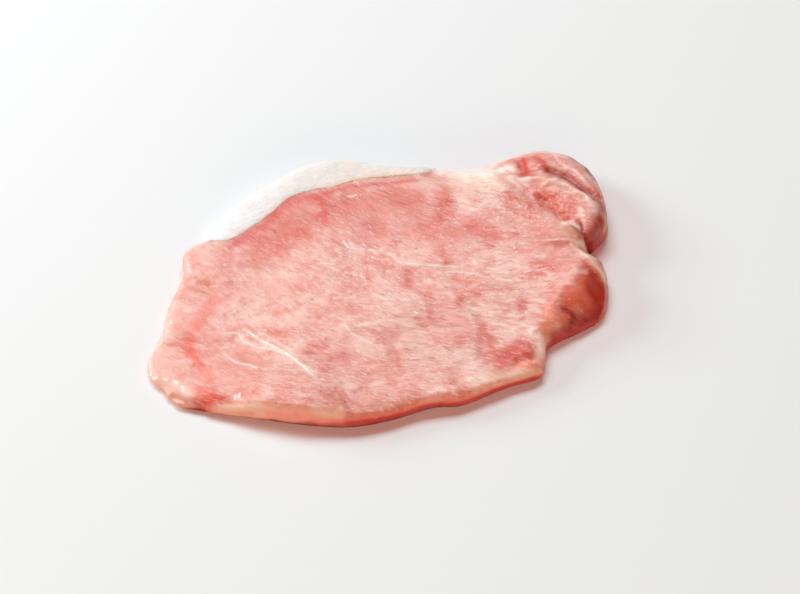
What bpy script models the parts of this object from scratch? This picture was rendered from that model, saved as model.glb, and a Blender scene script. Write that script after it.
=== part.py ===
"""A raw pork loin steak: one slice across the loin, about 150 mm long and 8 mm thick, lying flat.

The slice has three parts, each a closed solid. The loin eye is nearly all of it, a big oval
of lean that thins out into a soft tail at -X. The side muscle is the small round lobe at the
+X end, beyond a seam of connective tissue that ends in a notch. The fat cap is the crescent
of back fat along the far edge, +Y. The steak rests on Z = 0 with its bounding box centred
on the origin. Sizes below are in millimetres, and MM turns them into Blender's metres.
"""

import bmesh
import bpy
import numpy as np
from mathutils import Vector, noise
from mathutils.geometry import delaunay_2d_cdt

MM = 0.001
MERGE = 0.01  # points this close together are one point

# The edge of the slice seen from above, clockwise, one stretch after another.
FAT_EDGE = [
    (-44, 34.5), (-40.5, 37.5), (-34, 42.5), (-27, 45), (-18, 47.5),
    (-8.5, 50.5), (-2, 50.5), (6.5, 48.5), (18, 40.5), (26.5, 36),
]
CONNECTIVE_EDGE = [(33, 33.5), (42, 28.5)]
SIDE_MUSCLE_EDGE = [
    (48, 29), (55.5, 28.5), (63.5, 28), (68, 25), (72.5, 20.5),
    (75, 13), (74, 3), (71, -5.5), (69, -10), (64.5, -12.5),
]
LOIN_END_EDGE = [
    (58.5, -16.5), (61.5, -20), (60, -27.5), (57.5, -33), (52, -38.5),
    (44.5, -40.5), (36.5, -41.5), (32, -43.5), (29.5, -48), (27, -51.5),
]
FRONT_EDGE = [
    (16, -51), (2, -52), (-5.5, -49.5), (-18.5, -49), (-30.5, -46.5),
    (-44.5, -39), (-54, -32.5), (-65, -25.5), (-71, -20.5),
]
TAIL_EDGE = [
    (-73, -13.5), (-75, -9.5), (-74, -3), (-67, 5.5), (-61, 15.5),
    (-54.5, 23.5), (-52.5, 29.5), (-50, 33.5), (-47, 34),
]

# The seams between the three parts, each from the edge to the edge, and the gap they leave.
FAT_SEAM = [(-39.5, 29.5), (-30.5, 31.5), (-21, 35), (-14.5, 38), (-3.5, 37.5), (5.5, 38), (19.5, 34), (26.5, 31.5)]
SIDE_SEAM = [(59, -11.5), (58.5, -6.5), (54.5, 0.5), (53, 8.5), (50.5, 16.5), (48.5, 24.5)]
SEAM_GAP = 0.3

# The slice round each of these spots: x, y, its thickness, how wide the top rolls down at the
# edge, how full that roll is (1 is a plain slope, 2 a round, and more is squarer), how wide the
# bottom tucks in there, and how high the edge itself stands.
SPOTS = {
    "tail tip": (-70, -12, 2.9, 5.0, 1.9, 5.0, 1.0),
    "tail": (-58, 8, 5.2, 6.0, 2.0, 5.0, 2.0),
    "tail corner": (-64, -27, 4.0, 4.0, 1.9, 3.0, 1.2),
    "shoulder": (-48, 30, 6.2, 5.0, 2.1, 3.0, 2.4),
    "fat cap": (0, 46, 8.2, 5.5, 2.1, 2.5, 2.8),
    "fat cap end": (30, 34, 8.8, 5.0, 2.1, 2.5, 2.8),
    "centre": (-5, 0, 8.0, 4.0, 2.1, 2.0, 2.2),
    "front left": (-46, -36, 8.4, 4.2, 2.0, 1.8, 2.0),
    "front": (-14, -46, 5.6, 4.2, 2.0, 1.8, 2.0),
    "front corner": (24, -46, 4.2, 3.8, 2.0, 2.0, 1.6),
    "inner bend": (34, -40, 7.6, 5.0, 1.6, 2.0, 1.4),
    "loin end": (49, -32, 10.6, 11.0, 1.1, 1.0, 0.8),
    "loin corner": (61, -18, 10.2, 4.0, 1.8, 1.6, 2.0),
    "right of centre": (36, 0, 9.4, 5.0, 2.1, 2.5, 3.0),
    "side muscle": (66, 12, 10.4, 8.0, 2.0, 2.6, 3.6),
}
SPOT_REACH = 12.0  # how far each spot holds its own values
TUCK_FULLNESS = 2.1
GROOVE_DEPTH, GROOVE_WIDTH = 1.4, 2.2  # the dip along the side muscle's seam
WAVE_DEPTH, WAVE_LENGTH = 0.45, 17.0  # the soft unevenness of the cut top

# How finely the surface is made.
EDGE_STEP = 2.8
EDGE_RINGS = (0.35, 1.1, 2.4, 4.3, 6.8, 9.8)
INNER_STEP = 4.6
SEAM_CLEARANCE = 1.2
SHARP_ANGLE = 0.9  # radians, past which an edge stays crisp


def smooth_line(points, closed):
    """A smooth curve through the points (Catmull-Rom), as points about EDGE_STEP apart."""
    last = len(points) - 1
    line = []
    for i in range(last + closed):
        near = (i - 1, i, i + 1, i + 2)
        picked = [k % (last + 1) if closed else min(max(k, 0), last) for k in near]
        a, b, c, d = (Vector(points[k]) for k in picked)
        steps = max(1, round((c - b).length / EDGE_STEP))
        for t in (k / steps for k in range(steps)):
            bend = (2 * a - 5 * b + 4 * c - d) * t ** 2 + (3 * b - a - 3 * c + d) * t ** 3
            line.append((2 * b + (c - a) * t + bend) / 2)
    line.append(Vector(points[0 if closed else last]))
    return line


def distance_to(line, spots):
    """How far each of the spots, an array of points, is from the line."""
    starts, ends = np.array(line[:-1]), np.array(line[1:])
    runs = ends - starts
    offsets = spots[:, None, :] - starts
    share = np.clip((offsets * runs).sum(2) / (runs ** 2).sum(1), 0, 1)
    return np.linalg.norm(offsets - share[..., None] * runs, axis=2).min(1)


def shifted(line, distance):
    """The line moved sideways by the distance, to its left."""
    moved = []
    for i, point in enumerate(line):
        ahead = line[min(i + 1, len(line) - 1)] - line[max(i - 1, 0)]
        moved.append(point + Vector((-ahead.y, ahead.x)).normalized() * distance)
    return moved


def is_inside(loop, spots):
    """Which of the spots, an array of points, lie inside the closed loop."""
    within = np.zeros(len(spots), bool)
    for a, b in zip(loop, loop[1:] + loop[:1]):
        if a.y != b.y:
            spans = (a.y > spots[:, 1]) != (b.y > spots[:, 1])
            crossing = a.x + (spots[:, 1] - a.y) * (b.x - a.x) / (b.y - a.y)
            within ^= spans & (spots[:, 0] < crossing)
    return within


EDGE = smooth_line(
    FAT_EDGE + CONNECTIVE_EDGE + SIDE_MUSCLE_EDGE + LOIN_END_EDGE + FRONT_EDGE + TAIL_EDGE,
    closed=True,
)
FAT_LINE = smooth_line([FAT_EDGE[0], *FAT_SEAM, CONNECTIVE_EDGE[0]], closed=False)
SIDE_LINE = smooth_line([LOIN_END_EDGE[0], *SIDE_SEAM, SIDE_MUSCLE_EDGE[0]], closed=False)


def along_edge(first, last):
    """The edge's points between two of its landmarks, clockwise, without those two."""
    a, b = (EDGE.index(Vector(landmark)) for landmark in (first, last))
    return EDGE[a + 1:b] if b > a else EDGE[a + 1:-1] + EDGE[:b]


def heights(spots):
    """The heights of the slice's bottom and top over the spots, an array of points."""
    table = np.array(list(SPOTS.values()))
    away = np.linalg.norm(spots[:, None, :] - table[:, :2], axis=2)
    weight = 1 / (away ** 2 + SPOT_REACH ** 2) ** 2
    blended = (weight[..., None] * table[:, 2:]).sum(1) / weight.sum(1)[:, None]
    thickness, roll, fullness, tuck, lift = blended.T
    waves = np.array([noise.noise(Vector((x, y, 0)) / WAVE_LENGTH) for x, y in spots])
    groove = np.exp(-(distance_to(SIDE_LINE, spots) / GROOVE_WIDTH) ** 2)
    thickness = thickness + WAVE_DEPTH * waves - GROOVE_DEPTH * groove
    depth = distance_to(EDGE, spots)
    depth[depth < MERGE] = 0
    rise, drop = (
        (1 - (1 - np.minimum(depth / width, 1)) ** bend) ** (1 / bend)
        for width, bend in ((roll, fullness), (tuck, TUCK_FULLNESS))
    )
    return lift * (1 - drop), lift + (thickness - lift) * rise


def surface_points(loop):
    """Points inside the loop: rings that follow the slice's edge, then an even field."""
    rings = []
    for depth in EDGE_RINGS:
        ring = np.array(shifted(EDGE, -depth))
        rings.append(ring[distance_to(EDGE, ring) > 0.96 * depth])
    low, high = np.min(EDGE, axis=0), np.max(EDGE, axis=0)
    row_step = INNER_STEP * 0.75 ** 0.5
    columns, rows = ((high - low) / (INNER_STEP, row_step)).astype(int) + 1
    field = np.array([
        low + ((column + row % 2 / 2) * INNER_STEP, row * row_step)
        for row in range(rows) for column in range(columns)
    ])
    field = field[distance_to(EDGE, field) > EDGE_RINGS[-1] + INNER_STEP / 2]
    points = np.concatenate([*rings, field])
    for seam in (FAT_LINE, SIDE_LINE):
        points = points[distance_to(seam, points) > SEAM_CLEARANCE]
    return [Vector(point) for point in points[is_inside(loop, points)]]


def make_solid(name, loop, colour, roughness):
    """The part of the slice inside the loop. Its top and bottom meet where the loop runs
    along the slice's edge, and an upright wall joins them where it runs along a seam."""
    borders = [(i, (i + 1) % len(loop)) for i in range(len(loop))]
    points = loop + surface_points(loop)
    plan, _, faces, _, _, _ = delaunay_2d_cdt(points, borders, [], 1, MERGE)
    bm = bmesh.new()
    lower = [bm.verts.new((point.x, point.y, 0)) for point in plan]
    for face in faces:
        bm.faces.new([lower[i] for i in face])
    raised = bmesh.ops.extrude_face_region(bm, geom=bm.faces[:])["geom"]
    upper = [item for item in raised if isinstance(item, bmesh.types.BMVert)]
    for level, verts in enumerate((lower, upper)):
        spots = np.array([vert.co.xy for vert in verts])
        for vert, height in zip(verts, heights(spots)[level]):
            vert.co.z = height
    bmesh.ops.remove_doubles(bm, verts=bm.verts[:], dist=MERGE)
    bmesh.ops.triangulate(bm, faces=bm.faces[:])
    bmesh.ops.recalc_face_normals(bm, faces=bm.faces[:])
    low, high = np.min(EDGE, axis=0), np.max(EDGE, axis=0)
    bmesh.ops.translate(bm, verts=bm.verts[:], vec=Vector((*(-(low + high) / 2), 0)))
    bmesh.ops.scale(bm, verts=bm.verts[:], vec=(MM, MM, MM))
    mesh = bpy.data.meshes.new(name)
    bm.to_mesh(mesh)
    bm.free()
    mesh.shade_smooth()
    mesh.set_sharp_from_angle(angle=SHARP_ANGLE)
    mesh.materials.append(make_finish(name, colour, roughness))
    bpy.context.scene.collection.objects.link(bpy.data.objects.new(name, mesh))


def make_finish(name, colour, roughness):
    """The raw surface of one part: its colour, and how wet it looks."""
    finish = bpy.data.materials.new(name)
    finish.use_nodes = True
    shader = finish.node_tree.nodes["Principled BSDF"]
    shader.inputs["Base Color"].default_value = (*colour, 1)
    shader.inputs["Roughness"].default_value = roughness
    shader.inputs["Metallic"].default_value = 0
    return finish


for old in list(bpy.data.objects):
    bpy.data.objects.remove(old)

half_gap = SEAM_GAP / 2
fat_loop = along_edge(FAT_EDGE[0], CONNECTIVE_EDGE[0]) + shifted(FAT_LINE, half_gap)[::-1]
side_loop = along_edge(SIDE_MUSCLE_EDGE[0], LOIN_END_EDGE[0]) + shifted(SIDE_LINE, -half_gap)
eye_loop = (
    along_edge(LOIN_END_EDGE[0], FAT_EDGE[0])
    + shifted(FAT_LINE, -half_gap)
    + along_edge(CONNECTIVE_EDGE[0], SIDE_MUSCLE_EDGE[0])
    + shifted(SIDE_LINE, half_gap)[::-1]
)
make_solid("loin_eye", eye_loop, colour=(0.79, 0.33, 0.28), roughness=0.32)
make_solid("side_muscle", side_loop, colour=(0.62, 0.17, 0.14), roughness=0.32)
make_solid("fat_cap", fat_loop, colour=(0.90, 0.84, 0.76), roughness=0.4)
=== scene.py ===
"""A raw pork loin steak, freshly cut and still moist, lying on a pale table in soft light."""

import math

import bmesh
import bpy
import numpy as np
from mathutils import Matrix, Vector, noise
from mathutils.bvhtree import BVHTree


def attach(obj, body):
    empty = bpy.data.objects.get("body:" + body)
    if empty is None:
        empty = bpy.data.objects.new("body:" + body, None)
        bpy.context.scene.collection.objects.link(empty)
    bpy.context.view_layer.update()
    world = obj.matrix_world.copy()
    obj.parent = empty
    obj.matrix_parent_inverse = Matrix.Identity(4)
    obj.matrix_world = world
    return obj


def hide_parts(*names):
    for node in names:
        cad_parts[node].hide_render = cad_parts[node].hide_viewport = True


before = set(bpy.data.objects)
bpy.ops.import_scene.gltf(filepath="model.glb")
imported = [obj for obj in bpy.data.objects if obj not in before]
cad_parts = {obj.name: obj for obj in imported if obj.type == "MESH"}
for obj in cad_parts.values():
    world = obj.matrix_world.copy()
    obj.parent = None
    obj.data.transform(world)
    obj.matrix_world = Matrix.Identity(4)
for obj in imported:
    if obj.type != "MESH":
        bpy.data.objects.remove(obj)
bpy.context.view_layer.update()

# ------------------------------------------------------------------------------- The lean
# The loin eye and the small side muscle, grown together along a seam of connective tissue.
# A slicer cut them across, so the top is a soft uneven plane of short muscle fibres, moist
# all over, and the edges roll down to the table.

# Places and sizes of the steak are in millimetres, x towards the side muscle and y towards the fat.
MM = 0.001
LEAN_NODES = ("loin_eye", "side_muscle")
LEAN_CELL = 0.42           # how wide the faces of the lean's skin are
COVER_CELL = 0.8           # and those of the plain skin over the whole steak
WELD = 0.01                # points of the loose CAD triangles that are nearer than this become one
SHARP_FOLD = 0.8           # in radians: a sharper fold than this isn't rounded off
SWOLLEN = 0.3              # how far the nodes swell while one skin is laid over the gaps between them
LYING = -0.9               # a normal whose height is under this belongs to the underside
FACES_UP = 0.05            # and one whose height is over this to the top or its rim
SEAM_REACH = 2.4           # how far from their seam the lean and the fat are levelled


def smooth_step(value, low, high):
    """The value turned into a soft step, from 0 at low to 1 at high."""
    share = np.clip((value - low) / (high - low), 0, 1)
    return share * share * (3 - 2 * share)


def read_points(mesh):
    flat = np.empty(len(mesh.vertices) * 3, np.float32)
    mesh.vertices.foreach_get("co", flat)
    return flat.reshape(-1, 3).astype(float) / MM


def write_points(mesh, points):
    mesh.vertices.foreach_set("co", (points * MM).astype(np.float32).ravel())
    mesh.update()


def read_normals(mesh):
    flat = np.empty(len(mesh.vertices) * 3, np.float32)
    mesh.vertex_normals.foreach_get("vector", flat)
    return flat.reshape(-1, 3).astype(float)


def bake(piece):
    """Makes the piece's modifiers part of its mesh."""
    graph = bpy.context.evaluated_depsgraph_get()
    finished = bpy.data.meshes.new_from_object(piece.evaluated_get(graph))
    piece.modifiers.clear()
    piece.data = finished


def even_skin(name, nodes, cell, smoothing, kept_below):
    """One closed mesh of small even faces over the CAD nodes, across the thin gaps between them.
    Underneath, where the steak lies on the table, only that share of the faces is kept."""
    bm = bmesh.new()
    for node in nodes:
        bm.from_mesh(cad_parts[node].data)
    bmesh.ops.remove_doubles(bm, verts=bm.verts[:], dist=WELD * MM)
    crease = bm.edges.layers.float.new("crease_edge")
    for edge in bm.edges:
        edge[crease] = float(edge.calc_face_angle() > SHARP_FOLD)
    mesh = bpy.data.meshes.new(name)
    bm.to_mesh(mesh)
    bm.free()
    piece = bpy.data.objects.new(name, mesh)
    bpy.context.scene.collection.objects.link(piece)
    rounded = piece.modifiers.new("rounded", "SUBSURF")
    rounded.levels = rounded.render_levels = 2
    swollen = piece.modifiers.new("swollen", "DISPLACE")
    swollen.mid_level, swollen.strength = 0, SWOLLEN * MM
    even = piece.modifiers.new("even", "REMESH")
    even.mode, even.voxel_size = "VOXEL", cell * MM
    shrunk = piece.modifiers.new("shrunk", "DISPLACE")
    shrunk.mid_level, shrunk.strength = 0, -SWOLLEN * MM
    smooth = piece.modifiers.new("smooth", "SMOOTH")
    smooth.factor, smooth.iterations = 0.5, smoothing
    bake(piece)
    under = read_normals(piece.data)[:, 2] < LYING
    below = piece.vertex_groups.new(name="below")
    below.add(np.flatnonzero(under).tolist(), 1, "REPLACE")
    thinned = piece.modifiers.new("thinned", "DECIMATE")
    thinned.ratio = 1 - under.mean() * (1 - kept_below)
    thinned.vertex_group, thinned.vertex_group_factor = "below", 1000
    bake(piece)
    piece.vertex_groups.clear()
    piece.data.name = name
    piece.data.shade_smooth()
    return piece


def surface_of(mesh):
    """The mesh's surface, for finding the nearest place on it or what a ray meets."""
    bm = bmesh.new()
    bm.from_mesh(mesh)
    surface = BVHTree.FromBMesh(bm)
    bm.free()
    return surface


def level_seam(points, normals, cover, neighbour, above):
    """Raises the edge beside the neighbour to that height above the whole steak's cover, so that
    lean and fat meet as if they were cut in one stroke."""
    for i in np.flatnonzero(normals[:, 2] > FACES_UP):
        spot = Vector(points[i]) * MM
        gap = neighbour.find_nearest(spot)[3] / MM
        if gap < SEAM_REACH:
            top = cover.ray_cast(spot + Vector((0, 0, 1)), Vector((0, 0, -1)))[0]
            if top is not None:
                share = smooth_step(gap, SEAM_REACH, SEAM_REACH * 0.4)
                points[i, 2] += max(top.z / MM + above - points[i, 2], 0) * share


whole = even_skin("whole", (*LEAN_NODES, "fat_cap"), COVER_CELL, smoothing=12, kept_below=1.0)
cover = surface_of(whole.data)
bpy.data.objects.remove(whole)

lean = even_skin("lean", LEAN_NODES, LEAN_CELL, smoothing=8, kept_below=0.06)
points = read_points(lean.data)
level_seam(points, read_normals(lean.data), cover, surface_of(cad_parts["fat_cap"].data), 0.0)
write_points(lean.data, points)
normals = read_normals(lean.data)

# Which way the fibres of the cut run at spots of it: x, y, and the angle in degrees.
FIBRES = [
    (-48, 13, -58), (-54, -5, -50), (-55, -21, -48), (-38, -30, -38), (-30, 0, -57),
    (-13, 9, -60), (1, 22, -64), (-16, 28, -58), (4, -3, -54), (-10, -21, -45),
    (-12, -40, -36), (12, -19, -35), (4, -39, -30), (20, 5, -46), (27, -22, -38),
    (36, -30, -38), (24, -42, -50), (44, -20, -26), (50, -14, -14), (35, -4, -38),
    (39, 12, -40), (52, 2, -32), (64, 5, -54), (54, 21, -30),
]
FIBRE_AXIS = math.radians(-47)      # the way that most of them run
FIBRE_REACH = 9.0                   # how far the direction at each spot carries
FIBRE_STEPS = 24

# Creases and raised lips: depth (up is more than 0), half-width, points.
CREASES = [
    (0.7, 1.3, [(48.5, 25), (50.5, 16.5), (53, 9)]),
    (-0.35, 1.2, [(41, -35), (44, -36.5), (42.5, -38), (41.5, -39.5)]),
    (0.5, 1.6, [(37.5, -34), (37, -37)]),
    (-0.25, 1.4, [(44.5, -30), (43, -32.5), (41.5, -34.5)]),
    (0.3, 1.8, [(53, -27), (50, -30), (46.5, -32.5)]),
    (-0.25, 1.8, [(53.5, -27.5), (52, -31), (50, -34)]),
    (0.35, 1.0, [(54, -16.5), (56, -22), (57.5, -26.5), (56.5, -31), (53, -36.5)]),
    (0.5, 0.9, [(45.5, -10.5), (50, -11.5), (55, -13.5)]),
    (-0.5, 0.8, [(49.5, -13.5), (53, -14)]),
    (-0.2, 1.3, [(-30.5, -37.5), (-28.5, -40), (-28, -44.5)]),
    (-0.3, 1.4, [(-7, -26.5), (-10, -30), (-9.5, -35.5)]),
    (-0.3, 1.6, [(16.5, -20.5), (18.5, -25.5), (17.5, -31), (14, -39)]),
    (-0.9, 0.8, [(-71.5, -17.5), (-69.5, -20), (-67.5, -23), (-64.5, -24.5)]),
    (0.5, 1.2, [(-73.5, -14.5), (-71.5, -19), (-68.5, -23)]),
    (-0.4, 2.0, [(-54.5, 25), (-52, 18.5), (-49.5, 15)]),
    (-0.4, 2.0, [(-66, 5), (-63.5, 1.5), (-61.5, -2)]),
    (-0.3, 1.6, [(-71, -2), (-67.5, -6)]),
    (-0.4, 1.4, [(-56, 19), (-52, 16.5), (-49, 12)]),
    (-0.4, 1.4, [(-70, 0.5), (-65.5, -1.5), (-62.5, -5)]),
    (0.45, 1.1, [(-65, -25.5), (-60, -28), (-55, -30.5), (-50, -34.5)]),
    (0.4, 1.3, [(-5, -47.5), (5, -49), (14, -49.5), (26.5, -50)]),
    (0.6, 1.1, [(56.5, 11), (59.5, 11), (62, 8.5), (64, 5), (66.5, 1), (66.5, -3)]),
    (-0.9, 1.2, [(61.5, 16), (64.5, 12.5), (66, 8.5), (67.5, 4.5), (69, 0.5)]),
    (0.5, 1.2, [(68, 14), (69.5, 8), (70.5, 2)]),
    (0.5, 1.0, [(54, 16), (57, 14), (60.5, 11)]),
    (-0.9, 0.8, [(53.5, 9), (55, 5.5), (55.5, 2), (56, -1.5), (57, -5)]),
    (0.8, 1.6, [(55.5, -6.5), (57, -9.5), (58, -12)]),
    (-1.4, 0.7, [(60, -7), (59.5, -10.5), (60, -13), (61.5, -13.5)]),
    (0.5, 1.3, [(31, -41.5), (29.5, -45.5)]),
    (-0.6, 1.2, [(22, -45.5), (27, -46.5)]),
    (0.6, 1.2, [(50.5, 18), (54, 15)]),
    (-0.6, 1.2, [(55, 24), (54, 18)]),
]


def bumps(points, size, seed=0):
    """Smooth unevenness from about -1 to 1 at each of the points, in swells of that size."""
    return np.array([noise.noise(Vector(p)) for p in points / size + seed * 17.3])


def signed_distance(points, line):
    """How far each point is from the line in plan, negative on the line's right."""
    best = np.full(len(points), np.inf)
    side = np.ones(len(points))
    for a, b in zip(np.array(line[:-1]), np.array(line[1:])):
        run = b - a
        away = points[:, :2] - a
        share = np.clip(away @ run / (run @ run), 0, 1)
        gap = np.linalg.norm(away - share[:, None] * run, axis=1)
        closer = gap < best
        best[closer] = gap[closer]
        side[closer] = np.sign(run[0] * away[:, 1] - run[1] * away[:, 0])[closer]
    return best * np.where(side == 0, 1, side)


def spots(points, table):
    """How strongly the round spots of the table, x, y, radius and strength, show at each point."""
    strongest = np.zeros(len(points))
    for x, y, radius, strength in table:
        away = np.hypot(points[:, 0] - x, points[:, 1] - y) / radius
        strongest = np.maximum(strongest, strength * np.exp(-(away ** 2)))
    return strongest


def along_fibres(points):
    """Each point's place among the fibres: how far along one it is, which one it is, and its height."""
    table = np.array(FIBRES, float)
    turned = np.array([[math.cos(FIBRE_AXIS), -math.sin(FIBRE_AXIS)],
                       [math.sin(FIBRE_AXIS), math.cos(FIBRE_AXIS)]])
    centres = table[:, :2] @ turned
    slopes = np.tan(np.radians(table[:, 2]) - FIBRE_AXIS)
    plan = points[:, :2] @ turned
    along, across = plan[:, 0].copy(), plan[:, 1].copy()
    step = along / FIBRE_STEPS
    for _ in range(FIBRE_STEPS):
        away = (along[:, None] - centres[:, 0]) ** 2 + (across[:, None] - centres[:, 1]) ** 2
        weight = 1 / (away + FIBRE_REACH ** 2) ** 2
        slope = (weight * slopes).sum(1) / weight.sum(1)
        across -= slope * step
        along -= step
    return np.stack([plan[:, 0], across, points[:, 2]], 1)


def broad_swells(points):
    """The widest swells of the cut top, where the slice has settled."""
    return 0.26 * bumps(points * (1, 1, 0), 11, seed=1)


def relief(points, grain):
    """How far the cut top swells up or sinks at each point. The waves that run across the steak
    are in its thick half only, and the small muscles round the side muscle are lumpy."""
    height = broad_swells(points)
    thick_half = smooth_step(points[:, 0], -15, 15)
    across = points @ np.array([[0.92, 0.39, 0], [-0.39, 0.92, 0], [0, 0, 0]]).T
    height += 0.45 * thick_half * bumps(across * (1, 0.45, 0), 7.5, seed=2)
    height += 0.17 * bumps(points * (1, 1, 0.3), 3.6, seed=3)
    height += 0.13 * bumps(grain * (0.2, 0.7, 0.3), 1.0, seed=4)
    height += 0.05 * bumps(grain * (0.4, 1.1, 0.6), 1.0, seed=5)
    lumpy = spots(points, [(61, 10, 13, 1)])
    height += lumpy * (0.5 * bumps(points, 5, seed=14) + 0.35 * bumps(points, 2.6, seed=15))
    return height


# Where the lean faces up, where it is above the underside, and where it is a wall.
x, y, rise = points[:, 0], points[:, 1], normals[:, 2]
upward = smooth_step(rise, 0.15, 0.75)
above = smooth_step(rise, -0.35, 0.1)
side = above * (1 - smooth_step(rise, 0.3, 0.75))

grain = along_fibres(points)
swells = relief(points, grain)
height = swells * upward
height += side * 0.3 * bumps(points * (0.25, 0.25, 0.9), 1.0, seed=6)
height += side * 0.3 * bumps(points, 4.0, seed=23)
for depth, half_width, line in CREASES:
    height += depth * above * np.exp(-(signed_distance(points, line) / half_width) ** 2)

# The front rim is fuller, because the soft flesh sags over its own edge there.
forward = 1 - smooth_step(normals[:, 1], -0.2, 0.2)
rolled = smooth_step(rise, 0.2, 0.6) * (1 - smooth_step(rise, 0.8, 0.98))
fuller = (0.35 + 0.35 * bumps(points, 8, seed=21)) * smooth_step(x, -68, -50)
height += fuller * forward * rolled * (1 - 0.4 * smooth_step(x, 0, 15))
moved = points + normals * height[:, None]
moved[:, 2] = np.maximum(moved[:, 2], 0)
write_points(lean.data, moved)

# The colours of the flesh, as shown on a screen from 0 to 255: first those that go by its shape, among them
# painted shade, painted light and painted shadow.
PALE_TAIL, HOLLOW_SHADE, SWELL_LIGHT = (247, 194, 180), (222, 98, 80), (240, 202, 190)
THIN_RIM_LIGHT, THICK_RIM, WALL, SILVERSKIN = (255, 184, 162), (244, 146, 118), (250, 150, 128), (255, 206, 184)
PATCH, FLUSH, BLUSH = (243, 208, 196), (226, 92, 66), (204, 64, 46)
LOW_WALL_SHADE, UNDERCUT_SHADOW = (196, 38, 25), (72, 4, 2)

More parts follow.
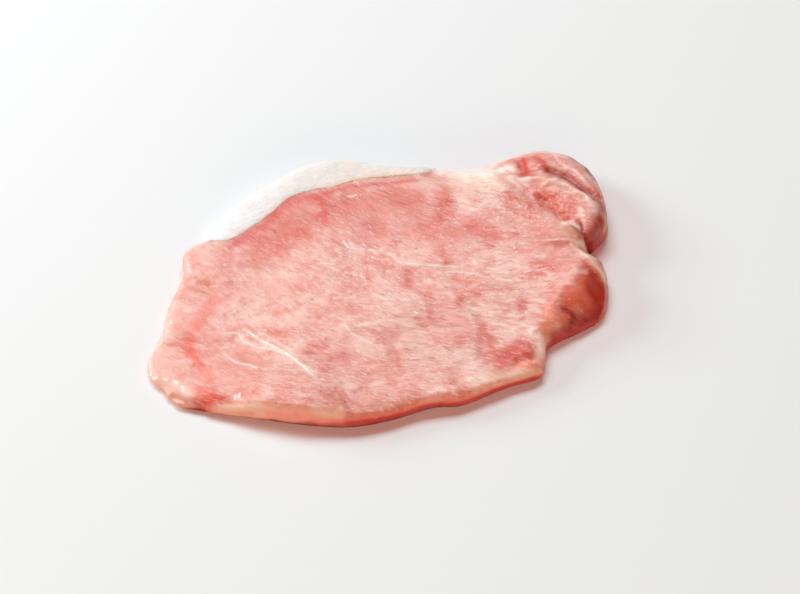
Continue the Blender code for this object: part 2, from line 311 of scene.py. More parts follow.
# Then those of soft strokes of flesh and tissue, which are laid over one another in this order:
# the colour, half-width, strength and points.
DEEP_RED, RED, ROSE, ORANGE = (160, 14, 8), (212, 62, 38), (220, 96, 74), (250, 124, 92)
TAN, CREAM, WHITE_TISSUE_AND_GLINT, PALE_PINK = (228, 168, 138), (255, 224, 204), (255, 236, 226), (250, 206, 192)
GLINT_HIGHLIGHT = (255, 252, 250)
STROKES = [
    # along the tail and under the fat, the flesh is redder
    ((214, 84, 52), 6.0, 0.5, [(-33, 21), (-22, 24), (-9, 27), (3, 30), (14, 25), (20, 14), (25, 3)]),
    (ROSE, 5.0, 0.45, [(46, -20), (47, -11), (49, 4)]),
    # red hollows and pale swells of the right half, which run away from the front, partly the flesh's own
    # tone and partly painted shade and painted light
    (PALE_PINK, 4.0, 0.55, [(7, -20.5), (10.5, -24), (13, -28.5), (7, -28)]),
    (PALE_PINK, 2.4, 0.4, [(19.5, -26), (22, -32), (26, -36)]),
    (RED, 1.4, 0.6, [(5.5, -4.5), (4, -9.5)]),
    (RED, 1.5, 0.6, [(18.5, 1), (17, -6)]),
    (RED, 1.4, 0.65, [(17.5, -30.5), (17, -37.5), (17.5, -42.5)]),
    (RED, 1.2, 0.5, [(-9, -30), (-10.5, -37)]),
    (RED, 1.5, 0.5, [(7, -17.5), (5, -23)]),
    (RED, 1.2, 0.5, [(15.5, -17), (14.5, -22)]),
    (RED, 1.2, 0.5, [(31, -27), (29.5, -32)]),
    ((222, 74, 50), 2.4, 0.65, [(17, -44.5), (21.5, -43), (24.5, -41.5)]),
    # small white painted highlights on the wet ridges, and one upright painted glint
    (WHITE_TISSUE_AND_GLINT, 0.45, 0.7, [(21, -31), (24, -32.5)]),
    (WHITE_TISSUE_AND_GLINT, 0.4, 0.7, [(26, -30), (29.5, -32)]),
    (WHITE_TISSUE_AND_GLINT, 0.4, 0.7, [(25, -35), (28.5, -35)]),
    (WHITE_TISSUE_AND_GLINT, 0.45, 0.7, [(32, -31), (34.5, -33.5)]),
    (WHITE_TISSUE_AND_GLINT, 0.4, 0.6, [(21.5, -27.5), (24.5, -28.5)]),
    ((255, 222, 206), 0.5, 0.9, [(31, -41), (30, -43)]),
    ((232, 88, 66), 2.4, 0.6, [(-49.2, 9.2), (-54.3, 5.1), (-58.8, 0.8), (-61.9, -3.8), (-60.5, -10.2),
                               (-59.6, -16.6)]),
    ((236, 92, 68), 1.6, 0.55, [(-61.2, -2.5), (-61.5, -6), (-60.5, -10.5)]),
    (RED, 1.8, 0.85, [(-38, 27.5), (-31, 29.6), (-26.7, 30.8), (-21.7, 33.2)]),
    (RED, 2.6, 0.95, [(-21.7, 33.6), (-15.9, 36), (-9.7, 35.6), (-5.5, 34.4)]),
    ((214, 88, 54), 7.0, 0.55, [(-26, 24), (-14, 28), (-2, 27), (8, 22), (18, 20)]),
    (ROSE, 5.0, 0.4, [(6, 14), (14, 10), (20, 4)]),
    (RED, 1.0, 0.7, [(-4, 35), (4, 34.5), (12, 32), (19, 30), (23, 28.5)]),
    (RED, 1.3, 0.9, [(-7.5, 34.5), (-7, 30.5), (-7.5, 27), (-9, 24.5)]),
    ((236, 184, 158), 1.3, 0.8, [(-1.5, 33), (-1, 31.5)]),
    ((176, 40, 36), 1.2, 0.6, [(-5, 28.5), (-4.5, 29)]),
    ((186, 44, 36), 1.3, 0.6, [(-0.5, 31.5), (-0.5, 29.5)]),
    # a small white painted highlight
    (WHITE_TISSUE_AND_GLINT, 0.35, 0.9, [(1, 31), (2, 30.5), (3.5, 30.5)]),
    # the side muscle: a red outer band, red spots on its spur, and deep red along its underside
    ((168, 26, 15), 2.1, 1.0, [(60.5, 16), (63.5, 13.5), (65.5, 9.5), (66.5, 5), (68.5, 1), (69.5, -4)]),
    (RED, 1.8, 1.0, [(56, 23.5), (54.5, 20), (54, 17.5)]),
    (RED, 0.9, 0.9, [(61, 22), (60, 18), (60, 16.5)]),
    (ORANGE, 1.1, 0.5, [(70, 13.5), (71, 9), (70.5, 4.5), (71.5, 1)]),
    (DEEP_RED, 1.2, 0.9, [(71, 20), (72.5, 14.5), (73.5, 9.5), (73.5, 4.5), (73, -1), (72, -4.5)]),
    (DEEP_RED, 2.4, 0.9, [(66.5, -6.5), (66, -9.5), (64, -11), (61.5, -12.5)]),
    (TAN, 0.6, 0.7, [(70.5, -4), (69.5, -6.5), (67.5, -10)]),
    (ROSE, 2.6, 0.8, [(55, 8), (56, 5), (57.5, 1), (58.5, -2)]),
    (ROSE, 2.0, 0.7, [(59, 6.5), (60.5, 3), (61, -1)]),
    (RED, 0.6, 0.8, [(54, 8.5), (55, 5.5), (55.5, 2), (56, -1.5)]),
    (PALE_PINK, 1.0, 0.35, [(54, 16), (57, 14), (60.5, 11)]),
    # white and tan connective tissue between the fat, the side muscle and the loin
    (PALE_PINK, 2.4, 0.8, [(38, 23), (40.5, 22), (44, 20.5), (47, 19)]),
    (WHITE_TISSUE_AND_GLINT, 2.4, 0.95, [(31, 30), (36, 28), (39, 27), (42, 26), (44.5, 24)]),
    (WHITE_TISSUE_AND_GLINT, 1.6, 1.0, [(44.5, 22.5), (47.5, 22.5), (50, 23), (51, 21.5)]),
    (WHITE_TISSUE_AND_GLINT, 1.0, 1.0, [(50.5, 18), (52, 16), (54, 15)]),
    (CREAM, 3.4, 0.75, [(37, 25), (40, 22), (43, 19)]),
    (WHITE_TISSUE_AND_GLINT, 1.8, 0.9, [(36, 26.5), (39, 25.5), (43, 23)]),
    (PALE_PINK, 2.4, 0.65, [(33, 24.5), (33, 20), (32.5, 16)]),
    (RED, 2.2, 0.6, [(27, 20.5), (25, 15.5), (21, 9)]),
    (RED, 1.8, 0.6, [(29, 4), (31, 0), (34, -3)]),
    (WHITE_TISSUE_AND_GLINT, 0.9, 0.7, [(37, 28), (36.5, 25), (36, 21.5)]),
    (CREAM, 1.2, 0.6, [(33, 27), (35.5, 23), (38, 19.5), (41, 16)]),
    (ROSE, 1.8, 0.8, [(29, 21), (28, 17), (26.5, 12.5)]),
    (RED, 1.4, 0.8, [(45.5, 12), (46.5, 9)]),
    (ROSE, 2.0, 0.7, [(31, 6), (33.5, 2), (36, -2)]),
    (ROSE, 1.5, 0.7, [(47.5, 6), (51, 5), (53, 4)]),
    (PALE_PINK, 1.0, 0.8, [(56.5, 11), (59.5, 11), (62, 8.5), (64, 5), (65.5, 3), (67, 1)]),
    ((240, 186, 174), 1.9, 0.9, [(66.5, 0.5), (66.5, -2), (65.5, -4.5)]),
    (PALE_PINK, 0.9, 0.8, [(66.5, 0.5), (67, -1.5), (66, -4.5)]),
    (PALE_PINK, 1.0, 0.8, [(62.5, -2.5), (61.5, -4.5), (61, -6.5)]),
    (PALE_PINK, 0.8, 0.9, [(66, 17.5), (66.5, 15)]),
    (CREAM, 0.7, 0.7, [(71, 10.5), (71, 8)]),
    ((214, 146, 112), 1.6, 1.0, [(55, -5), (55, -9.5), (56, -12), (58, -13)]),
    ((190, 112, 72), 1.1, 0.9, [(57, -9.5), (57.5, -12)]),
    (CREAM, 0.9, 0.9, [(55.5, -14.5), (58, -14)]),
    (WHITE_TISSUE_AND_GLINT, 1.2, 1.0, [(55.5, -6.5), (57.5, -6.5), (59, -8)]),
    (DEEP_RED, 0.5, 1.0, [(60, -7.5), (59.5, -10.5), (60, -13), (61.5, -13.5)]),
    # the loin end: a red slope below an orange shoulder, and a tan membrane round its rim. The slope's deep
    # red is partly its own and partly painted shade, where it faces away from the light.
    ((248, 140, 112), 5.0, 0.4, [(43, -32), (47, -32), (51, -30.5), (54, -27.5)]),
    (ROSE, 1.6, 0.6, [(54, -22.5), (52, -26), (50, -29)]),
    (RED, 1.3, 0.6, [(54, -24.5), (54.5, -26), (55.5, -27.5)]),
    ((190, 44, 30), 3.4, 1.0, [(51.5, -30.5), (52.5, -33), (52.5, -36)]),
    ((220, 78, 58), 2.6, 0.8, [(47, -33.5), (48, -35), (49, -37)]),
    ((184, 34, 22), 2.2, 0.9, [(54, -27.5), (55.5, -29.5), (55, -32.5)]),
    (ORANGE, 1.4, 0.5, [(50.5, -28), (49, -30.5), (46.5, -32)]),
    ((226, 84, 62), 1.4, 0.6, [(45, -29.5), (43.5, -32.5), (41.5, -35), (40.5, -37.5)]),
    ((250, 150, 122), 1.6, 0.8, [(37, -33), (36.5, -36), (34, -38.5)]),
    (DEEP_RED, 2.2, 0.95, [(44, -38.5), (48, -38.5), (51, -37.5)]),
    (DEEP_RED, 1.4, 0.9, [(36, -40.5), (39.5, -40), (44, -40)]),
    (DEEP_RED, 0.8, 0.8, [(41, -35), (43.5, -36.5), (42.5, -38), (41.5, -39), (40, -39.5)]),
    # a brown line of painted shade, on the underside round the rim
    ((176, 104, 82), 0.9, 0.9, [(58, -19), (60, -23), (60.5, -26), (60, -29), (58, -32.5)]),
    (CREAM, 0.7, 0.75, [(54, -16.5), (55, -19.5), (56, -22), (56.5, -24.5), (57.5, -26), (57.5, -28)]),
    (TAN, 0.4, 0.6, [(57.5, -28), (56.5, -31), (54.5, -35), (52, -37.5)]),
    (PALE_PINK, 0.7, 0.5, [(45.5, -24), (49, -25), (52.5, -26)]),
    (RED, 0.5, 0.7, [(50, -14), (53, -14)]),
    # along the front left, a cream roll of thin fat, and red flesh low on the front
    ((252, 172, 154), 2.6, 0.6, [(-60, -28.5), (-54, -33.5), (-48, -38.5), (-41, -42)]),
    (CREAM, 1.6, 0.45, [(-69.5, -14.5), (-67.5, -17.5), (-66.5, -20)]),
    ((242, 104, 72), 2.2, 0.75, [(-63, -20.5), (-62, -23.5)]),
    (RED, 1.0, 0.8, [(-61, -23.5), (-59.5, -25)]),
    # small white painted highlights: glints on the tip and the front left
    (GLINT_HIGHLIGHT, 0.3, 1.0, [(-74.5, -8.5), (-73, -9.5)]),
    (GLINT_HIGHLIGHT, 0.3, 1.0, [(-71.5, -10.5), (-71, -11.5)]),
    (GLINT_HIGHLIGHT, 0.35, 1.0, [(-69, -13), (-68.5, -14)]),
    (GLINT_HIGHLIGHT, 0.3, 1.0, [(-68, -16), (-68, -17.5)]),
    (GLINT_HIGHLIGHT, 0.25, 1.0, [(-56, -27), (-55.5, -26)]),
    (GLINT_HIGHLIGHT, 0.3, 1.0, [(-55, -27), (-54.5, -26)]),
    (RED, 1.3, 0.7, [(-30, -46), (-24, -47.5), (-16, -49)]),
    # the front corner: a pale flap beside red flesh, and silverskin along the lower rim
    (RED, 2.6, 0.7, [(20.9, -41.8), (24, -42.4), (26, -45), (26.4, -48)]),
    (ORANGE, 1.8, 0.7, [(22, -46.8), (26, -48.6)]),
    (PALE_PINK, 1.5, 0.9, [(31, -40.4), (30.4, -42.7), (29, -45.2), (27.6, -47)]),
    ((255, 226, 214), 0.4, 0.8, [(30, -42.5), (29, -45)]),
]
LIPS = [
    # silverskin along the lower rim, and the pale lip along the front left and round the tail, partly pale
    # tissue and partly a painted highlight where the rounded edge meets the light
    ((248, 202, 176), 1.5, 0.75, [(4, -46), (9, -47.5), (15, -48), (20.5, -49), (26.5, -50)]),
    (WHITE_TISSUE_AND_GLINT, 0.8, 0.8, [(6, -46.3), (8.5, -47.2), (10.4, -47.8)]),
    (PALE_PINK, 1.2, 0.6, [(-64.5, -26), (-60, -28), (-55.5, -30.5), (-52, -33)]),
    ((255, 216, 194), 0.6, 0.8, [(-60.5, -27), (-57, -28.5), (-54, -30.5), (-50.5, -33), (-47.5, -35.5)]),
    ((255, 210, 188), 1.3, 0.6, [(-37, -41.5), (-35, -42.5), (-31.5, -43.5)]),
]

# Blotches where the lean is painted darker and redder: x, y, radius, strength.
BLUSHES = [
    (-63, -23, 3.4, 1.0), (-59.5, -26, 2.8, 0.6), (-63.6, -23.6, 1.8, 0.9), (-60, -25, 1.6, 0.8),
    (-31, 27, 5.0, 0.5), (-25, 30, 4.5, 0.5), (-8.5, 27.5, 2.6, 0.8), (-4.7, 28.6, 1.6, 0.9),
    (-20, 26, 6.0, 0.35), (-18, 23.4, 2.6, 0.5), (-24.5, 20.5, 2.8, 0.6), (-31, 25.4, 3.0, 0.3),
    (-42, 21, 6.5, 0.25), (-36.5, 18, 3.2, 0.35), (-43, 14, 4.0, 0.3), (-49, 15, 3.0, 0.2),
    (-37, 0, 3.5, 0.15), (-47, 1, 4.0, 0.15), (-36.5, -10.5, 2.8, 0.25), (-30.5, -21, 3.4, 0.65),
    (-29, -26.5, 3.4, 0.75), (-24, -25.5, 2.2, 0.7), (-32, -37.5, 3.0, 0.55), (-29, -41, 3.4, 0.45),
    (-40, -36, 5.0, 0.25), (-8, 14.6, 2.8, 0.4), (2.5, 17, 3.0, 0.75), (-12.5, -2.4, 2.2, 0.35),
    (-12, 9.5, 5.5, 0.2), (-16, 3, 4.0, 0.2), (-10.5, -22.7, 2.6, 0.35), (0.5, 4.6, 3.0, 0.25),
    (-1, 14, 4.5, 0.3), (21, 22, 3.2, 0.4), (27, 15.5, 2.8, 0.6), (24.5, 10.5, 3.2, 0.6),
    (17, 10.5, 3.4, 0.5), (30, 4.5, 3.6, 0.6), (32, -0.5, 3.2, 0.6), (6, 7, 2.4, 0.5),
    (23, -6, 2.4, 0.25), (32.4, -6.2, 1.7, 0.7), (40, -4.7, 2.0, 0.6), (5.7, -5, 2.4, 0.45),
    (12.4, -5, 2.6, 0.2), (-1, -14.6, 2.2, 0.25), (3.6, -21.5, 3.0, 0.25), (16, -19.5, 2.4, 0.35),
    (31, -27.5, 2.6, 0.35), (32, -22, 2.6, 0.3), (44.5, -19, 3.6, 0.35), (17, -34, 3.4, 0.4),
    (14, -40, 2.6, 0.7), (20, -43, 3.4, 0.8), (25.5, -42.5, 3.6, 0.8), (26, -48.5, 3.0, 0.7),
    (3, -44.5, 2.4, 0.5), (43, 7.6, 2.6, 0.6), (53, 12, 3.5, 0.4), (56, 3.5, 3.0, 0.5),
    (61.5, -1, 3.0, 0.5), (42.5, -34, 3.2, 0.8), (52, 21, 2.6, 1.0), (54, 22.5, 2.2, 1.0),
    (60.5, 20, 2.6, 0.8), (58, 1, 2.6, 0.5), (59.3, -3, 2.6, 0.5),
]

# Soft paler patches, where connective tissue lies just under the surface.
PALE_PATCHES = [
    (26, 24, 3.6, 0.55), (36, 20.5, 5.0, 0.6), (31, 17.5, 4.0, 0.35), (40, 15.5, 4.0, 0.35),
    (-4, -32.5, 6.0, 0.4), (-9.5, -19.6, 4.5, 0.35), (13, -15, 4.5, 0.35), (-31.5, 11, 7.0, 0.4),
    (-25.5, -2.5, 2.4, 0.5), (-3, -11.6, 4.0, 0.35), (-37.6, -19.7, 4.0, 0.3), (-40, 4, 6.0, 0.3),
    (7.9, -46.7, 3.0, 0.6), (33.5, -44, 2.0, 0.5),
]

# White tissue in thin sharp threads: half-width, strength, points.
THREADS = [
    (0.42, 1.0, [(-44.8, -4.4), (-42, -10.5), (-38.7, -16.2), (-35.5, -23.7), (-33.5, -30)]),
    (0.26, 0.8, [(-40.7, -14), (-38, -18.5), (-35.8, -22)]),
    (0.22, 0.6, [(-41.5, -7), (-38.6, -12.5), (-36, -18)]),
    (0.22, 0.9, [(-50.2, -3.4), (-47.2, -4.8), (-46.9, -8.3), (-44.3, -11.9), (-40.7, -15.2), (-38, -18.7)]),
    (0.22, 0.9, [(-53.1, -10.4), (-51.5, -14.4), (-48.7, -17.3), (-47, -20)]),
    (0.20, 0.8, [(-7, 15), (-6.7, 11.8), (-2.4, 9.1), (1.5, 6.9)]),
    (0.24, 0.8, [(3.4, 4.5), (5, 0), (8.7, -2.6), (13.7, -5.7), (20.3, -8.8)]),
    (0.22, 0.8, [(16.3, -9.1), (20.8, -11.2), (26.1, -15.7)]),
    (0.26, 0.9, [(27.6, -15.8), (30.1, -18.9), (33.6, -20.8)]),
    (0.24, 0.5, [(-15.5, -17.2), (-9, -18.4), (-3.5, -20.1)]),
    (0.20, 0.8, [(-17.2, 9.2), (-14.6, 7.7)]),
    (0.24, 0.5, [(-7.5, -8.8), (-2, -12.9)]),
    (0.20, 0.7, [(-1.2, -32.6), (4.6, -34.9)]),
    (0.20, 0.7, [(-18.7, -15.7), (-17.9, -19.1), (-13.5, -25.6)]),
    (0.26, 0.5, [(44, -8.5), (47, -10), (51, -12), (54, -13)]),
]
THREAD_REACH = 1.2         # how far from its middle a thread is drawn
FAR_OFF = 6.0              # how many half-widths away the threads are where none is near

# Where the small muscles are crumbly and show no fibres, and where the flesh is smooth.
CRUMBLY_SPOTS = [(47, 4, 12, 1), (36, 16, 9, 0.8), (60, 3, 8, 1), (20, 0, 10, 0.3)]
SMOOTH_SPOTS = [(52, -32, 9, 1), (57, -20, 5, 0.8)]

ATTRIBUTE_KINDS = {1: ("FLOAT", "value"), 3: ("FLOAT_VECTOR", "vector"), 4: ("FLOAT_COLOR", "color")}


def store(mesh, name, values):
    """Keeps a number, vector or colour for each vertex, which the finish reads by its name."""
    kind, key = ATTRIBUTE_KINDS[values.size // len(values)]
    mesh.attributes.new(name, kind, "POINT").data.foreach_set(key, values.astype(np.float32).ravel())


def shown(red, green, blue):
    """A colour as shown on a screen, from 0 to 255, in the linear values that a shader mixes."""
    values = (np.array((red, green, blue)) / 255 + 0.055) / 1.055
    return (*(values ** 2.4), 1)


def paint_over(paint, share, colour):
    """Lays a colour over the paint, which has a row of red, green, blue and share for each point."""
    share = np.clip(share, 0, 1)[:, None]
    kept = paint[:, 3:] * (1 - share)
    total = share + kept
    linear = np.array(shown(*colour)[:3])
    paint[:, :3] = (linear * share + paint[:, :3] * kept) / np.maximum(total, 1e-6)
    paint[:, 3:] = total


def strayed(points, wander, share):
    """The points, moved in plan by that share of the wander, so that no edge is a ruled line."""
    return points + np.pad(wander * share, ((0, 0), (0, 1)))


wander = np.stack([bumps(points, 2.6, seed=7), bumps(points, 2.6, seed=8)], 1)
wander += np.stack([bumps(points, 6, seed=9), bumps(points, 6, seed=10)], 1)
ragged = 1 + 0.9 * bumps(grain * (0.35, 0.7, 0.4), 1.0, seed=13)
tail = 1 - smooth_step(x * 0.93 - y * 0.36 - wander[:, 0], -68, -54)
paint = np.zeros((len(points), 4))

# The ground: a pale tail, and redder hollows and paler swells, partly the flesh's own tone and partly
# painted shade in the hollows and painted light on the swells.
paint_over(paint, tail * above, PALE_TAIL)
dip = swells - broad_swells(points)
waves = (0.35 + 0.4 * smooth_step(x, -10, 15)) * upward * (1 - tail)
paint_over(paint, smooth_step(-dip, 0.04, 0.25) * waves, HOLLOW_SHADE)
paint_over(paint, smooth_step(dip, 0.06, 0.28) * waves, SWELL_LIGHT)

# The rim and the wall below it, peach along the thin left end and redder along the thick one. The pale rim
# along the thin end is painted light on the shoulder, laid most on the walls that face the front.
rim = above * (1 - smooth_step(rise, 0.6, 0.92))
wall = above * (1 - smooth_step(rise, 0.25, 0.65))
facing = 1 - 0.6 * smooth_step(normals[:, 1], -0.1, 0.5)
redder = smooth_step(x + 3 * bumps(points, 5, seed=24), -34, -24)
streaked = bumps(points * (0.6, 0.6, 1.6), 3.0, seed=19) + 0.6 * bumps(points, 9, seed=20)
flushed = smooth_step(bumps(points * (1, 1, 1.6), 3.5, seed=25), 0.0, 0.5)
lit_wall = wall * facing * (1 - 0.6 * tail)
paint_over(paint, rim * 0.8 * facing * (1 - 0.6 * tail) * (1 - 0.8 * redder), THIN_RIM_LIGHT)
paint_over(paint, rim * 0.55 * facing * redder, THICK_RIM)
paint_over(paint, lit_wall * 0.85, WALL)
paint_over(paint, lit_wall * smooth_step(streaked, 0.05, 0.6) * (0.6 - 0.2 * redder), SILVERSKIN)
paint_over(paint, spots(strayed(points, wander, 1.0), PALE_PATCHES) * above, PATCH)
paint_over(paint, rim * flushed * facing * redder * 0.5, FLUSH)
paint_over(paint, spots(strayed(points, wander, 1.0), BLUSHES) * ragged * above * 0.95, BLUSH)

# The strokes. The lips follow the edge of the cut, and don't run down the wall.
drawn = np.zeros(len(points))
brushed = strayed(points, wander, 0.3)
for table, where in ((STROKES, above), (LIPS, smooth_step(rise, 0.3, 0.7))):
    for colour, half_width, strength, line in table:
        away = signed_distance(brushed, line) / half_width
        share = strength * where * np.exp(-(away ** 2)) * np.clip(0.7 + 0.3 * ragged, 0, 1)
        paint_over(paint, share, colour)
        drawn = np.maximum(drawn, share)

# Low on the wall the flesh is painted deep red as shade, and nearly black as painted shadow where it tucks
# under.
depth = points[:, 2] + 0.8 * bumps(points, 5, seed=18)
shade_reach = 1 + 4.6 * smooth_step(x, -62, -16)
# The share of painted shade low on the wall, which reaches higher towards the thick end.
low = side * (1 - smooth_step(depth / shade_reach, 0.4, 1.1))
tucked_shadow = (1 - smooth_step(rise, -0.3, 0.08)) * (rise > LYING)
paint_over(paint, low * 0.95 * (1 - tail), LOW_WALL_SHADE)
paint_over(paint, tucked_shadow * (1 - tail), UNDERCUT_SHADOW)

# How many half-widths each point lies to the side of the nearest thread.
thread = np.full(len(points), FAR_OFF)
thread_near = np.zeros(len(points))
for half_width, strength, line in THREADS:
    away = signed_distance(strayed(points, wander, 0.12), line)
    nearer = np.abs(away) / half_width < np.abs(thread)
    thread[nearer] = (away / half_width)[nearer]
    thread_near = np.maximum(thread_near, strength * (np.abs(away) < THREAD_REACH))

# How much of the fine pattern of the cut shows: less on the tail and where the lean is painted.
calmer = (0.7 + 0.3 * smooth_step(x, -35, 0)) * (1 - 0.35 * smooth_step(y, 8, 24))
calmer *= 1 - 0.85 * spots(points, SMOOTH_SPOTS)
calmer *= smooth_step(rise, 0.4, 0.85) * (1 - 0.75 * drawn) * (1 - 0.6 * tail)
store(lean.data, "grain", grain)
store(lean.data, "paint", paint)
store(lean.data, "thread", thread)
store(lean.data, "thread_near", thread_near * upward)
store(lean.data, "grainy", spots(points, CRUMBLY_SPOTS) * smooth_step(rise, 0.4, 0.8))
store(lean.data, "cut", calmer)


def fill(tree, node, inputs):
    """Gives each input of the node its value, or links it to the socket that stands for one."""
    for name, value in inputs.items():
        if isinstance(value, bpy.types.NodeSocket):
            tree.links.new(value, node.inputs[name])
        else:
            node.inputs[name].default_value = value


def put(tree, kind, inputs, **settings):
    """Adds one shader node, with its inputs and its settings."""
    made = tree.nodes.new("ShaderNode" + kind)
    for name, value in settings.items():
        setattr(made, name, value)
    fill(tree, made, inputs)
    return made


def stored(tree, name, output="Fac"):
    return put(tree, "Attribute", {}, attribute_name=name).outputs[output]


def sized_noise(tree, place, scale, seed, detail, roughness):
    """Noise over the place, a vector, that is squeezed by the scale and set apart by the seed."""
    apart = (seed * 3.7, seed * 5.1, seed)
    mapped = put(tree, "Mapping", {"Vector": place, "Scale": scale, "Location": apart})
    cloud = put(tree, "TexNoise", {"Vector": mapped.outputs[0], "Scale": 1.0, "Detail": detail,
                                   "Roughness": roughness})
    return cloud.outputs["Fac"]


def band(tree, value, low, high, bottom=0.0, top=1.0):
    """The value turned into a soft step, from bottom at low to top at high."""
    step = put(tree, "MapRange", {"Value": value, "From Min": low, "From Max": high, "To Min": bottom,
                                  "To Max": top}, interpolation_type="SMOOTHSTEP")
    return step.outputs[0]


def maths(tree, kind, *values):
    return put(tree, "Math", dict(enumerate(values)), operation=kind).outputs[0]


def vector_maths(tree, kind, *values):
    return put(tree, "VectorMath", dict(enumerate(values)), operation=kind).outputs[0]


def blended(tree, share, under, over):
    mixer = put(tree, "Mix", {0: share, 6: under, 7: over}, data_type="RGBA", blend_type="MIX")
    return mixer.outputs[2]


def tinted(tree, colour, pattern, over, strength, where=None):
    """The colour, with another laid over it as strongly as the pattern shows, and only there."""
    if where is not None:
        strength = maths(tree, "MULTIPLY", where, strength)
    return blended(tree, maths(tree, "MULTIPLY", pattern, strength), colour, shown(*over))


def new_finish(name):
    finish = bpy.data.materials.new(name)
    finish.use_nodes = True
    return finish, finish.node_tree, finish.node_tree.nodes["Principled BSDF"]


def let_through(tree, shader, tint):
    """Lets some tinted light pass, so that the shadow glows as it does beside thin flesh."""
    gap = put(tree, "BsdfTransparent", {"Color": tint})
    shadow = put(tree, "LightPath", {}).outputs["Is Shadow Ray"]
    mixer = put(tree, "MixShader", {0: shadow, 1: shader.outputs[0], 2: gap.outputs[0]})
    tree.links.new(mixer.outputs[0], tree.nodes["Material Output"].inputs["Surface"])


def place_in_mm(tree):
    place = put(tree, "TexCoord", {}).outputs["Object"]
    return put(tree, "Mapping", {"Vector": place, "Scale": (1 / MM, 1 / MM, 1 / MM)}).outputs[0]


# The finish reads its patterns along the fibres, which stray a little as they run.
lean_finish, tree, shader = new_finish("moist_lean")
place = place_in_mm(tree)
stray = put(tree, "TexNoise", {"Vector": place, "Scale": 0.35, "Detail": 2.0}).outputs["Color"]
stray = vector_maths(tree, "SUBTRACT", stray, (0.5, 0.5, 0.5))
stray = vector_maths(tree, "MULTIPLY", stray, (1.7, 1.7, 1.0))
strand_at = vector_maths(tree, "ADD", stored(tree, "grain", "Vector"), stray)

# The ground colour and its soft mottling, with the paint over them.
cloud = band(tree, sized_noise(tree, place, (0.11, 0.11, 0.11), 1, 3, 0.6), 0.36, 0.66)
colour = blended(tree, cloud, shown(229, 154, 136), shown(238, 190, 176))
mottle = band(tree, sized_noise(tree, strand_at, (0.17, 0.26, 0.2), 8, 3, 0.55), 0.44, 0.66)
colour = tinted(tree, colour, mottle, (224, 118, 98), 0.45)
painted = put(tree, "Attribute", {}, attribute_name="paint")
colour = blended(tree, painted.outputs["Alpha"], colour, painted.outputs["Color"])

# The cut fibres: red flecks, pale streaks that are partly painted sheen on their crests, fine dark lines
# that are partly painted shade in their gaps, curds where it is crumbly, and tiny white painted glints.
cut = stored(tree, "cut")
grainy = stored(tree, "grainy")
fibrous = maths(tree, "MULTIPLY", cut, maths(tree, "SUBTRACT", 1.0, maths(tree, "MULTIPLY", grainy, 0.6)))
flecks = band(tree, sized_noise(tree, strand_at, (0.4, 0.8, 0.5), 2, 3, 0.65), 0.58, 0.68)
colour = tinted(tree, colour, flecks, (208, 88, 70), 0.45, cut)
streaks_and_sheen = band(tree, sized_noise(tree, strand_at, (0.45, 1.3, 0.7), 3, 3, 0.62), 0.50, 0.70)
colour = tinted(tree, colour, streaks_and_sheen, (252, 226, 216), 0.6, fibrous)
lines_and_shade = band(tree, sized_noise(tree, strand_at, (0.42, 1.7, 0.9), 4, 3, 0.62), 0.45, 0.72)
colour = tinted(tree, colour, lines_and_shade, (206, 108, 92), 0.4, fibrous)
curds = band(tree, sized_noise(tree, place, (1.0, 1.0, 1.0), 10, 3, 0.6), 0.5, 0.66)
colour = tinted(tree, colour, curds, (250, 206, 190), 0.6, grainy)
clots = band(tree, sized_noise(tree, place, (0.8, 0.8, 0.8), 11, 3, 0.6), 0.52, 0.68)
colour = tinted(tree, colour, clots, (206, 84, 66), 0.6, grainy)
painted_glints = band(tree, sized_noise(tree, strand_at, (0.75, 1.5, 1.3), 9, 2, 0.5), 0.69, 0.75)
colour = tinted(tree, colour, painted_glints, (255, 244, 232), 1.0, cut)

# The threads of white tissue, each with a sharp core in a soft halo.
apart = maths(tree, "ABSOLUTE", stored(tree, "thread"))
core = maths(tree, "SUBTRACT", 1.0, band(tree, apart, 0.2, 1.6))
halo = maths(tree, "MULTIPLY", maths(tree, "SUBTRACT", 1.0, band(tree, apart, 0.5, 4.0)), 0.35)
broken = band(tree, sized_noise(tree, place, (0.7, 0.7, 0.7), 5, 2, 0.5), 0.32, 0.55, 0.35, 0.9)
whiteness = maths(tree, "MULTIPLY", maths(tree, "MAXIMUM", core, halo), stored(tree, "thread_near"))
whiteness = maths(tree, "MULTIPLY", whiteness, broken)
colour = blended(tree, whiteness, colour, shown(252, 240, 230))

# The skin of the cut, ridged along the fibres, under a film of juice that is wetter in places.
ridges = sized_noise(tree, strand_at, (0.30, 1.5, 0.8), 3, 3, 0.6)
pores = sized_noise(tree, place, (1.1, 1.1, 1.1), 6, 3, 0.65)
skin = maths(tree, "ADD", maths(tree, "MULTIPLY", ridges, 0.2), maths(tree, "MULTIPLY", pores, 0.1))
skin = maths(tree, "SUBTRACT", skin, maths(tree, "MULTIPLY", flecks, 0.05))
skin = maths(tree, "ADD", skin, maths(tree, "MULTIPLY", whiteness, 0.08))
bump = put(tree, "Bump", {"Height": skin, "Strength": 1.0, "Distance": MM})
wet = band(tree, sized_noise(tree, place, (0.22, 0.22, 0.22), 7, 3, 0.6), 0.35, 0.65, 0.36, 0.5)
fill(tree, shader, {
    "Base Color": colour,
    "Roughness": wet,
    "Normal": bump.outputs[0],
    "IOR": 1.38,
    "Subsurface Weight": 0.8,
    "Subsurface Radius": (1.0, 0.3, 0.2),
    "Subsurface Scale": 0.0035,
    "Coat Weight": band(tree, cut, 0, 1, 0.5, 0.65),
    "Coat Normal": bump.outputs[0],
    "Coat Roughness": 0.12,
    "Coat IOR": 1.4,
})
let_through(tree, shader, (0.54, 0.08, 0.035, 1))
lean.data.materials.append(lean_finish)
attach(lean, "root")
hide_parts(*LEAN_NODES)

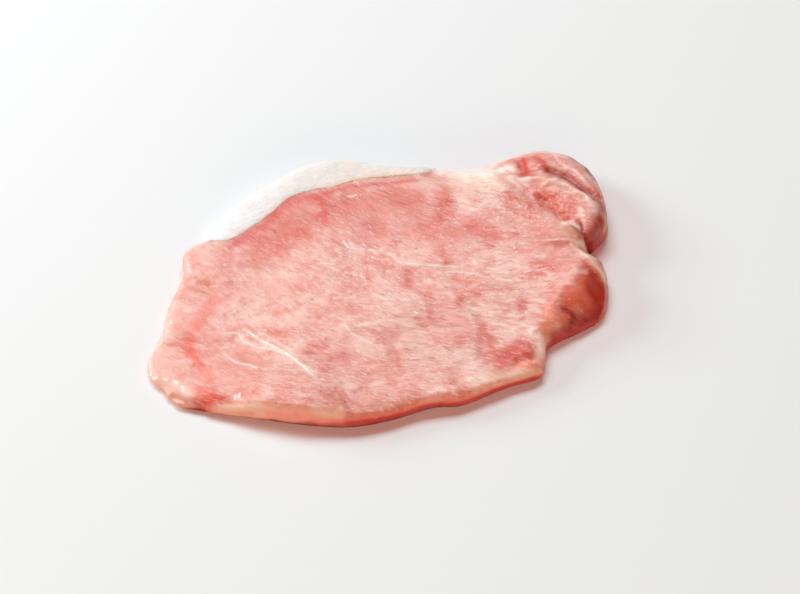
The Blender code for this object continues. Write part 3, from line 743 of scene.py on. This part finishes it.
# -------------------------------------------------------------------------------- The fat
# The cap of white back fat that covers the far edge of the loin. It is firm and smooth, a
# little warmer towards the side muscle, and it stays on the lean when the slice is cut.

FAT_CELL = 0.5
FAT_STEP = -0.2            # its edge is this much lower than the lean's
JOINED = 1.4               # how far the pull of the seam reaches into the fat

fat = even_skin("fat", ("fat_cap",), FAT_CELL, smoothing=4, kept_below=0.1)
points = read_points(fat.data)
loin_eye = surface_of(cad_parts["loin_eye"].data)
level_seam(points, read_normals(fat.data), cover, loin_eye, FAT_STEP)
write_points(fat.data, points)
normals = read_normals(fat.data)

# Beside the loin the fat is drawn across the gap and takes the relief of the cut, and on the
# right it laps a little over the lean.
nearest = [loin_eye.find_nearest(Vector(p) * MM)[0] for p in points]
towards = np.array([tuple(p) for p in nearest]) / MM - points
gap = np.linalg.norm(towards, axis=1)
joined = np.exp(-(gap / JOINED) ** 2)
towards[:, 2] = 0
towards /= np.maximum(np.linalg.norm(towards, axis=1), 0.05)[:, None]
lapping = smooth_step(points[:, 0], -10, 2)
swell = 0.3 + 0.22 * bumps(points, 9, seed=11) + 0.10 * bumps(points, 3.2, seed=12)
swell = swell * (1 - joined) + relief(points, along_fibres(points)) * joined * (normals[:, 2] > 0.3)
swell += 0.3 * lapping * joined * (normals[:, 2] > FACES_UP)
moved = points + normals * swell[:, None] + towards * ((0.9 + 1.1 * lapping) * joined)[:, None]
moved[:, 2] = np.maximum(moved[:, 2], 0)
write_points(fat.data, moved)
# Where the fat is painted warm cream beside the lean, partly as painted light over the seam's shade.
store(fat.data, "seam_cream_and_light", smooth_step(joined, 0.45, 0.95))
store(fat.data, "far_side", smooth_step(normals[:, 1], 0.1, 0.6))

fat_finish, tree, shader = new_finish("firm_fat")
place = place_in_mm(tree)
warmer = band(tree, put(tree, "SeparateXYZ", {0: place}).outputs[0], -36, 8)
colour = blended(tree, warmer, shown(246, 245, 246), shown(240, 230, 225))
cloud = band(tree, sized_noise(tree, place, (0.16, 0.16, 0.16), 1, 3, 0.6), 0.42, 0.68)
colour = tinted(tree, colour, cloud, (234, 216, 206), 0.4)
pink = band(tree, sized_noise(tree, place, (0.3, 1.1, 0.6), 2, 3, 0.6), 0.54, 0.68)
colour = tinted(tree, colour, pink, (238, 200, 186), 0.35)
white = band(tree, sized_noise(tree, place, (0.5, 1.4, 0.8), 4, 3, 0.6), 0.55, 0.68)
colour = tinted(tree, colour, white, (252, 250, 248), 0.6)
# Warm cream beside the lean: partly the seam's own tone, partly painted light that lifts the shade in the
# groove of the seam.
colour = tinted(tree, colour, stored(tree, "seam_cream_and_light"), (255, 220, 190), 0.8)
colour = tinted(tree, colour, stored(tree, "far_side"), (226, 220, 214), 0.7)
grains = sized_noise(tree, place, (0.5, 1.0, 0.7), 3, 3, 0.6)
bump = put(tree, "Bump", {"Height": grains, "Strength": 0.8, "Distance": 0.8 * MM})
fill(tree, shader, {
    "Base Color": colour,
    "Roughness": 0.45,
    "Normal": bump.outputs[0],
    "IOR": 1.42,
    "Subsurface Weight": 0.8,
    "Subsurface Radius": (1.0, 0.75, 0.6),
    "Subsurface Scale": 0.003,
})
fat.data.materials.append(fat_finish)
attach(fat, "root")
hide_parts("fat_cap")

# ------------------------------------------------------------------------- Table and light
# A plain white table. A wide softbox hangs high behind the steak, so that the moist top
# shines and the shadow falls forward, and a long low warm card in front fills that shadow.

# Distances here are in metres. Azimuth 0 is towards the front, -Y, and 90 towards +X.
TABLE_SIZE = 3.0
VIEW_CENTRE = (0.0025, -0.0059, 0.0)
VIEW_TURN, VIEW_HEIGHT, VIEW_DISTANCE = -23, 48, 0.555

# Each lamp's name, azimuth, elevation, distance, width, height, power and colour.
LAMPS = [
    ("softbox", 166, 53, 3.0, 2.5, 1.0, 74.0, (0.95, 0.97, 1.0)),
    ("card", -30, 50, 0.8, 0.5, 0.5, 0.8, (1, 1, 1)),
    ("front card", -10, 15, 2.0, 4.0, 0.6, 24, (1, 0.82, 0.55)),
    ("window", -138, 21, 1.0, 0.45, 0.3, 7.2, (0.93, 0.97, 1.0)),
]

table_mesh = bpy.data.meshes.new("table")
bm = bmesh.new()
bmesh.ops.create_grid(bm, x_segments=2, y_segments=2, size=TABLE_SIZE / 2)
bm.to_mesh(table_mesh)
bm.free()
table = bpy.data.objects.new("table", table_mesh)
bpy.context.scene.collection.objects.link(table)
table_finish, tree, shader = new_finish("table")
fill(tree, shader, {"Base Color": shown(238, 238, 238), "Roughness": 0.7, "Specular IOR Level": 0.2})
table_mesh.materials.append(table_finish)


def stand(item, azimuth, elevation, distance, centre):
    """Puts a lamp or a camera at that distance from the centre, and turns it to look there."""
    turn, tilt = math.radians(azimuth), math.radians(elevation)
    flat = math.cos(tilt)
    away = Vector((math.sin(turn) * flat, -math.cos(turn) * flat, math.sin(tilt)))
    item.location = Vector(centre) + distance * away
    item.rotation_euler = (Vector(centre) - item.location).to_track_quat("-Z", "Y").to_euler()


for name, azimuth, elevation, distance, wide, high, power, tint in LAMPS:
    light = bpy.data.lights.new(name, "AREA")
    light.shape, light.size, light.size_y = "RECTANGLE", wide, high
    light.energy, light.color = power, tint
    lamp = bpy.data.objects.new(name, light)
    bpy.context.scene.collection.objects.link(lamp)
    stand(lamp, azimuth, elevation, distance, (0, 0, 0))
world = bpy.data.worlds.new("room")
world.use_nodes = True
room = world.node_tree.nodes["Background"]
fill(world.node_tree, room, {"Color": (1, 0.9, 0.65, 1), "Strength": 0.04})
bpy.context.scene.world = world
bpy.context.scene.view_settings.view_transform = "Standard"

camera = bpy.data.objects.new("camera", bpy.data.cameras.new("camera"))
bpy.context.scene.collection.objects.link(camera)
camera.data.lens = 85
camera.data.sensor_width = 36
camera.data.clip_start, camera.data.clip_end = 0.01, 20
stand(camera, VIEW_TURN, VIEW_HEIGHT, VIEW_DISTANCE, VIEW_CENTRE)
bpy.context.scene.camera = camera
